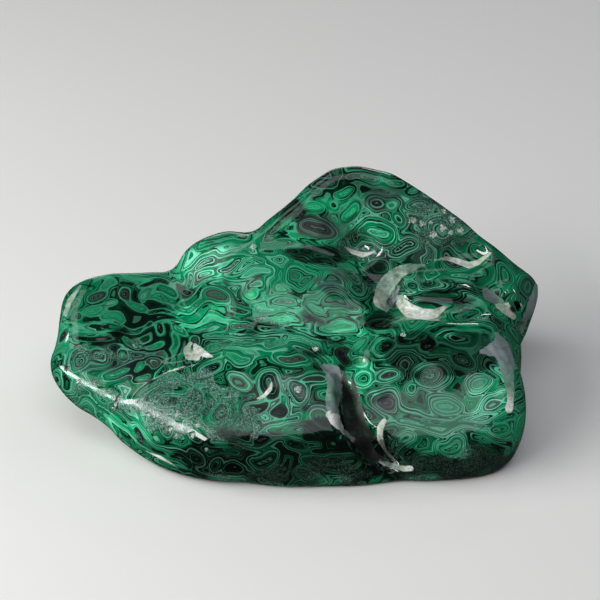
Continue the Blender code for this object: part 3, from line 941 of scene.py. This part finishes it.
def polishedMalachite():
    material = bpy.data.materials.new("polishedMalachite")
    material.use_nodes = True
    tree = material.node_tree
    shader = tree.nodes["Principled BSDF"]
    place = addNode(tree, "ShaderNodeTexCoord").outputs["Object"]
    inMm = addNode(tree, "ShaderNodeVectorMath", {0: place, "Scale": 1 / mm}, operation="SCALE")
    reach = addNode(tree, "ShaderNodeAttribute", attribute_name="growth").outputs["Fac"]
    read = []
    for name in ("cores", "zones", "crustsAndPaintedLight"):
        values = addNode(tree, "ShaderNodeAttribute", attribute_name=name).outputs["Vector"]
        read += addNode(tree, "ShaderNodeSeparateXYZ", {0: values}).outputs
    coreShade, ringed, inPit, mauve, sponge, toneAndPaintedShade, crustAndLightAway, crustAndLightShade, lined = read

    # the bands wander a little on a finer scale than the mesh holds
    for rate, strength in (malachite["wobble"], malachite["tremble"]):
        noise = addNode(tree, "ShaderNodeTexNoise", {"Vector": inMm, "Scale": rate, "Detail": 1.0})
        shift = addNode(tree, "ShaderNodeMapRange", {0: noise, 3: -strength, 4: strength},
                        clamp=False)
        reach = addNode(tree, "ShaderNodeMath", {0: reach, 1: shift})

    # the order of the layers: a noise read along the growth, which drifts across the stone
    slow = addNode(tree, "ShaderNodeVectorMath", {0: inMm, "Scale": malachite["drift"]},
                   operation="SCALE")
    along = addNode(tree, "ShaderNodeMath", {0: reach, 1: malachite["bandRate"]},
                    operation="MULTIPLY")
    layers = addNode(tree, "ShaderNodeTexNoise", {
        "Vector": slow, "W": along, "Scale": 1.0, "Detail": 3.0, "Roughness": 0.58},
        noise_dimensions="4D")
    biased = addNode(tree, "ShaderNodeMath", {
        0: toneAndPaintedShade, 1: malachite["zoneBias"], 2: layers}, operation="MULTIPLY_ADD")
    greens = addNode(tree, "ShaderNodeValToRGB", {0: biased}, malachite["greens"])
    browns = addNode(tree, "ShaderNodeValToRGB", {0: layers}, malachite["browns"])
    bands = addNode(tree, "ShaderNodeMix", {"Factor": mauve, 6: greens, 7: browns},
                    data_type="RGBA").outputs[2]

    # flat cores
    coreShade = addNode(tree, "ShaderNodeMath", {0: layers, 1: 0.9, 2: coreShade},
                        operation="MULTIPLY_ADD")
    coreShade = addNode(tree, "ShaderNodeMath", {0: coreShade, 1: 0.45}, operation="SUBTRACT")
    flat = addNode(tree, "ShaderNodeValToRGB", {0: coreShade}, malachite["cores"])

    # hair lines and deeper bands inside the wider ones and the cores
    alongFine = addNode(tree, "ShaderNodeMath", {0: reach, 1: malachite["fineRate"]},
                        operation="MULTIPLY")
    hair = addNode(tree, "ShaderNodeTexNoise", {
        "Vector": slow, "W": alongFine, "Scale": 1.0, "Detail": 1.0}, noise_dimensions="4D")
    deep = addNode(tree, "ShaderNodeMapRange", {0: hair, 1: 0.36, 2: 0.47, 3: 0.60, 4: 1.0})
    fineness = addNode(tree, "ShaderNodeMapRange", {0: hair, 1: 0.545, 2: 0.60})
    fineness = addNode(tree, "ShaderNodeMath", {0: fineness, 1: lined}, operation="MULTIPLY")
    lineColour = hexColour(malachite["hairLine"])
    crossed = []
    for base in (bands, flat):
        base = addNode(tree, "ShaderNodeVectorMath", {0: base, "Scale": deep}, operation="SCALE")
        crossed.append(addNode(tree, "ShaderNodeMix", {"Factor": fineness, 6: base, 7: lineColour},
                               data_type="RGBA").outputs[2])

    # a bare core has no bands, and every core a thin pale line round it
    inCore = addNode(tree, "ShaderNodeMapRange", {0: reach, 1: -0.4, 2: -1.1})
    bare = addNode(tree, "ShaderNodeMapRange", {0: ringed, 1: 0.65, 2: 0.35})
    inCore = addNode(tree, "ShaderNodeMath", {0: inCore, 1: bare}, operation="MULTIPLY")
    colour = addNode(tree, "ShaderNodeMix", {"Factor": inCore, 6: crossed[0], 7: crossed[1]},
                     data_type="RGBA").outputs[2]
    fromLine = addNode(tree, "ShaderNodeMath", {0: reach, 1: 0.15}, operation="SUBTRACT")
    fromLine = addNode(tree, "ShaderNodeMath", {0: fromLine}, operation="ABSOLUTE")
    faint, full = malachite["outlineWidth"]
    line = addNode(tree, "ShaderNodeMapRange", {0: fromLine, 1: faint, 2: full, 3: 0.0, 4: 0.70})
    colour = addNode(tree, "ShaderNodeMix", {
        "Factor": line, 6: colour, 7: hexColour(malachite["outline"])}, data_type="RGBA").outputs[2]

    # spongy places: fine rings and speckles with open pores
    grain = addNode(tree, "ShaderNodeTexVoronoi", {
        "Vector": inMm, "Scale": malachite["spongeGrain"], "Randomness": 1.0})
    rings = addNode(tree, "ShaderNodeMath", {0: grain, 1: malachite["spongeRings"]},
                    operation="MULTIPLY")
    speck = addNode(tree, "ShaderNodeTexNoise", {
        "Vector": inMm, "W": rings, "Scale": 1.0, "Detail": 3.0, "Roughness": 0.65},
        noise_dimensions="4D")
    speckled = addNode(tree, "ShaderNodeValToRGB", {0: speck}, malachite["sponge"])
    patchy = addNode(tree, "ShaderNodeTexNoise", {"Vector": inMm, "Scale": 0.16, "Detail": 3.0})
    spongy = addNode(tree, "ShaderNodeMath", {0: sponge, 1: patchy}, operation="MULTIPLY")
    spongy = addNode(tree, "ShaderNodeMapRange", {0: spongy, 1: 0.28, 2: 0.55, 3: 0.0, 4: 0.75})
    colour = addNode(tree, "ShaderNodeMix", {"Factor": spongy, 6: colour, 7: speckled},
                     data_type="RGBA").outputs[2]
    # paler and darker places scale the colour, the darker partly as painted shade
    darkest, brightest = malachite["toneAndShadeScale"]
    depth = addNode(tree, "ShaderNodeMapRange", {
        0: toneAndPaintedShade, 1: -1.0, 2: 1.0, 3: darkest, 4: brightest})
    colour = addNode(tree, "ShaderNodeVectorMath", {0: colour, "Scale": depth}, operation="SCALE")
    # the floor of a pit is a pale crust
    colour = addNode(tree, "ShaderNodeMix", {
        "Factor": inPit, 6: colour, 7: hexColour(malachite["pitFloor"])},
        data_type="RGBA").outputs[2]

    # the satin crust and the painted highlights, reflections and shade laid out with it: its edge is
    # torn where it is dark, its tone cloudy, and it thins in spots
    ragged = addNode(tree, "ShaderNodeTexNoise", {"Vector": inMm, "Scale": 0.5, "Detail": 4.0})
    tear = addNode(tree, "ShaderNodeMapRange", {0: crustAndLightShade, 1: 0.25, 2: 0.80, 3: 3.0, 4: 0.5})
    torn = addNode(tree, "ShaderNodeTexNoise", {
        "Vector": inMm, "Scale": 0.30, "Detail": 5.0, "Roughness": 0.6})
    torn = addNode(tree, "ShaderNodeMath", {0: torn, 1: 0.5}, operation="SUBTRACT")
    pale = addNode(tree, "ShaderNodeMapRange", {0: crustAndLightShade, 1: 0.15, 2: 0.25})
    torn = addNode(tree, "ShaderNodeMath", {0: torn, 1: pale}, operation="MULTIPLY")
    crustAndLightEdge = addNode(tree, "ShaderNodeMath", {0: torn, 1: tear, 2: crustAndLightAway},
                        operation="MULTIPLY_ADD")
    onCrustAndLight = addNode(tree, "ShaderNodeMapRange", {0: crustAndLightEdge, 1: 0.15, 2: -0.20})
    cloudy = addNode(tree, "ShaderNodeTexNoise", {
        "Vector": inMm, "Scale": 0.33, "Detail": 6.0, "Roughness": 0.68})
    cloudy = addNode(tree, "ShaderNodeMath", {0: cloudy, 1: 0.5}, operation="SUBTRACT")
    mottle = addNode(tree, "ShaderNodeMapRange", {0: crustAndLightShade, 1: 0.10, 2: 0.30, 3: 0.03, 4: 0.62})
    clouded = addNode(tree, "ShaderNodeMath", {0: cloudy, 1: mottle, 2: crustAndLightShade},
                      operation="MULTIPLY_ADD")
    crustAndLightColour = addNode(tree, "ShaderNodeValToRGB", {0: clouded}, malachite["crustAndLightColour"])
    thin = addNode(tree, "ShaderNodeMapRange", {0: cloudy, 1: -0.10, 2: 0.06, 3: 0.72, 4: 1.0})
    crustAndLightShare = addNode(tree, "ShaderNodeMath", {0: onCrustAndLight, 1: thin}, operation="MULTIPLY")
    colour = addNode(tree, "ShaderNodeMix", {"Factor": crustAndLightShare, 6: colour, 7: crustAndLightColour},
                     data_type="RGBA").outputs[2]

    # gloss and relief
    dull = addNode(tree, "ShaderNodeMath", {0: spongy, 1: inPit}, operation="MAXIMUM")
    gloss = addNode(tree, "ShaderNodeMapRange", {
        0: dull, 3: malachite["roughness"], 4: malachite["pitGloss"]})
    darkSatin, paleSatin = malachite["satin"]
    satin = addNode(tree, "ShaderNodeMapRange", {
        0: crustAndLightShade, 1: 0.10, 2: 0.90, 3: darkSatin, 4: paleSatin})
    gloss = addNode(tree, "ShaderNodeMix", {0: onCrustAndLight, 2: gloss, 3: satin}, data_type="FLOAT")
    pores = addNode(tree, "ShaderNodeMapRange", {0: speck, 1: 0.45, 2: 0.60})
    pores = addNode(tree, "ShaderNodeMath", {0: pores, 1: spongy}, operation="MULTIPLY")
    lumps = addNode(tree, "ShaderNodeMath", {0: ragged, 1: onCrustAndLight}, operation="MULTIPLY")
    relief = addNode(tree, "ShaderNodeMath", {0: lumps, 1: 3.0, 2: pores},
                     operation="MULTIPLY_ADD")
    strength, deepest = malachite["relief"]
    bump = addNode(tree, "ShaderNodeBump", {
        "Strength": strength, "Distance": deepest * mm, "Height": relief})
    tree.links.new(colour, shader.inputs["Base Color"])
    tree.links.new(gloss.outputs[0], shader.inputs["Roughness"])
    tree.links.new(bump.outputs[0], shader.inputs["Normal"])
    shader.inputs["IOR"].default_value = malachite["ior"]
    shader.inputs["Metallic"].default_value = 0.0
    return material


# Tiny malachite crystals that line the pits
druse = {
    "size": (0.35, 0.75),     # mm
    "density": 1.6,           # per square millimetre
    "sides": 5,
    "seed": 8,
    "cone": (0.25, 0.55, 1.3),   # radius at the top and bottom, and height, of a crystal of size 1
    "lean": (0.7, 0.7, 3.1),  # how far one leans and turns either way, radians
    "where": 0.45,            # how deep in a pit they start, from 0 at its rim to 1
    "colours": [(0.38, "#6E9C86"), (0.50, "#D5E0D6"), (0.62, "#F4F7F1")],
    "roughness": 0.12,
}


def druseCrystal():
    material = bpy.data.materials.new("druseCrystal")
    material.use_nodes = True
    tree = material.node_tree
    shader = tree.nodes["Principled BSDF"]
    place = addNode(tree, "ShaderNodeTexCoord").outputs["Object"]
    noise = addNode(tree, "ShaderNodeTexNoise", {"Vector": place, "Scale": 0.4 / mm})
    colour = addNode(tree, "ShaderNodeValToRGB", {0: noise}, druse["colours"])
    tree.links.new(colour.outputs[0], shader.inputs["Base Color"])
    shader.inputs["Roughness"].default_value = druse["roughness"]
    shader.inputs["IOR"].default_value = malachite["ior"]
    return material


def druseTree(material):
    tree = bpy.data.node_groups.new("pitDruse", "GeometryNodeTree")
    tree.interface.new_socket("Geometry", in_out="INPUT", socket_type="NodeSocketGeometry")
    for name, kind in (("Density", "Float"), ("Smallest", "Float"), ("Largest", "Float"),
                       ("Sides", "Int"), ("Seed", "Int")):
        tree.interface.new_socket(name, in_out="INPUT", socket_type="NodeSocket" + kind)
    tree.interface.new_socket("Geometry", in_out="OUTPUT", socket_type="NodeSocketGeometry")
    given = addNode(tree, "NodeGroupInput").outputs
    inPit = addNode(tree, "GeometryNodeInputNamedAttribute", {"Name": "cores"},
                    data_type="FLOAT_VECTOR")
    inPit = addNode(tree, "ShaderNodeSeparateXYZ", {0: inPit}).outputs[2]
    chosen = addNode(tree, "FunctionNodeCompare", {0: inPit, 1: druse["where"]},
                     operation="GREATER_THAN")
    spread = addNode(tree, "GeometryNodeDistributePointsOnFaces", {
        "Mesh": given["Geometry"], "Selection": chosen, "Density": given["Density"],
        "Seed": given["Seed"]})
    top, bottom, height = druse["cone"]
    crystal = addNode(tree, "GeometryNodeMeshCone", {
        "Vertices": given["Sides"], "Radius Top": top, "Radius Bottom": bottom, "Depth": height})
    size = addNode(tree, "FunctionNodeRandomValue", {
        2: given["Smallest"], 3: given["Largest"], "Seed": given["Seed"]}, data_type="FLOAT")
    tilt = addNode(tree, "FunctionNodeRandomValue", {
        0: [-lean for lean in druse["lean"]], 1: druse["lean"], "Seed": given["Seed"]},
        data_type="FLOAT_VECTOR")
    turn = addNode(tree, "FunctionNodeRotateRotation", {0: spread.outputs["Rotation"], 1: tilt},
                   rotation_space="LOCAL")
    placed = addNode(tree, "GeometryNodeInstanceOnPoints", {
        "Points": spread, "Instance": crystal, "Rotation": turn, "Scale": size.outputs[1]})
    real = addNode(tree, "GeometryNodeRealizeInstances", {0: placed})
    finish = addNode(tree, "GeometryNodeSetMaterial", {"Geometry": real, "Material": material})
    addNode(tree, "NodeGroupOutput", {"Geometry": finish})
    return tree


def makeDruse(stoneObject):
    tree = druseTree(druseCrystal())
    carrier = bpy.data.objects.new("pit_druse", stoneObject.data)
    bpy.context.scene.collection.objects.link(carrier)
    modifier = carrier.modifiers.new("pitDruse", "NODES")
    modifier.node_group = tree
    given = {item.name: item.identifier for item in tree.interface.items_tree
             if item.in_out == "INPUT"}
    modifier[given["Density"]] = druse["density"] / mm ** 2
    modifier[given["Smallest"]] = druse["size"][0] * mm
    modifier[given["Largest"]] = druse["size"][1] * mm
    modifier[given["Sides"]] = druse["sides"]
    modifier[given["Seed"]] = druse["seed"]
    evaluated = carrier.evaluated_get(bpy.context.evaluated_depsgraph_get())
    crystals = bpy.data.meshes.new_from_object(evaluated)
    carrier.modifiers.remove(modifier)
    carrier.data = crystals
    print("druse:", len(crystals.polygons), "faces")
    return carrier


studio = {
    "floor": "#E4E4E0",
    "floorSize": 6.0,
    "world": ("#DDE4E6", 0.035),
    # each softbox: azimuth (0 is behind the stone, 90 to its right), elevation, distance,
    # width, height in metres, how bright its face is, colour, and whether it shows in the gloss
    "softboxes": {
        "frontTop": (176, 68, 1.3, 1.3, 0.70, 0.62, "#F4F8FF", True),
        "leftStrip": (-108, 36, 1.1, 1.6, 0.28, 8.0, "#FFFFFF", True),
        "leftHaze": (-62, 54, 1.4, 0.6, 0.4, 0.7, "#FFFFFF", True),
        "rightPanel": (70, 38, 1.4, 1.3, 1.0, 0.8, "#EFECFF", False),
        "backPanel": (-3, 9, 1.5, 0.8, 0.45, 0.6, "#FFFFFF", True),
        "backSpark": (17, 27, 1.5, 0.30, 0.10, 7.0, "#FFFFFF", True),
        "overheadFill": (180, 70, 1.6, 1.6, 1.2, 0.62, "#FFFFFF", False),
    },
}


def makeStudio():
    scene = bpy.context.scene
    world = bpy.data.worlds.new("studioAir")
    world.use_nodes = True
    background = world.node_tree.nodes["Background"]
    background.inputs["Color"].default_value = hexColour(studio["world"][0])
    background.inputs["Strength"].default_value = studio["world"][1]
    scene.world = world

    half = studio["floorSize"] / 2
    mesh = bpy.data.meshes.new("studioFloor")
    mesh.from_pydata([(-half, -half, 0), (half, -half, 0), (half, half, 0), (-half, half, 0)],
                     [], [(0, 1, 2, 3)])
    floor = bpy.data.objects.new("studio_floor", mesh)
    scene.collection.objects.link(floor)
    matt = bpy.data.materials.new("mattPaper")
    matt.use_nodes = True
    paper = matt.node_tree.nodes["Principled BSDF"]
    paper.inputs["Base Color"].default_value = hexColour(studio["floor"])
    paper.inputs["Roughness"].default_value = 0.7
    mesh.materials.append(matt)
    floor.visible_glossy = False     # the gloss mirrors the dark room, as in the photograph

    aim = Vector((0, 0, 0.045))
    for name, (azimuth, elevation, distance, width, height, bright, colour, shows) in (
            studio["softboxes"].items()):
        a, e = radians(azimuth), radians(elevation)
        way = Vector((sin(a) * cos(e), cos(a) * cos(e), sin(e)))
        lamp = bpy.data.lights.new(name, "AREA")
        lamp.shape = "RECTANGLE"
        lamp.size, lamp.size_y = width, height
        lamp.energy = 4 * width * height * bright
        lamp.color = hexColour(colour)[:3]
        box = bpy.data.objects.new(name, lamp)
        box.location = aim + way * distance
        box.rotation_euler = way.to_track_quat("Z", "Y").to_euler()
        box.visible_glossy = shows
        scene.collection.objects.link(box)

    camera = bpy.data.cameras.new("camera")
    camera.sensor_width = view["sensor"]
    camera.lens = view["sensor"] * view["distance"] / (2 * view["middle"] * view["pixel"])
    stand = bpy.data.objects.new("camera", camera)
    stand.location = Vector(eyePoint) * mm + Vector(view["shift"]) * mm
    stand.rotation_euler = Vector(toCamera).to_track_quat("Z", "Y").to_euler()
    scene.collection.objects.link(stand)
    scene.camera = stand
    scene.view_settings.view_transform = "Standard"
    print("studio set")


seenPlaces = findPlaces()
polishedStone = makeStone()
polishedStone.data.materials.append(polishedMalachite())
pitDruse = makeDruse(polishedStone)
makeStudio()

for piece in (polishedStone, pitDruse):
    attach(piece, "root")
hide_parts("malachite_stone")
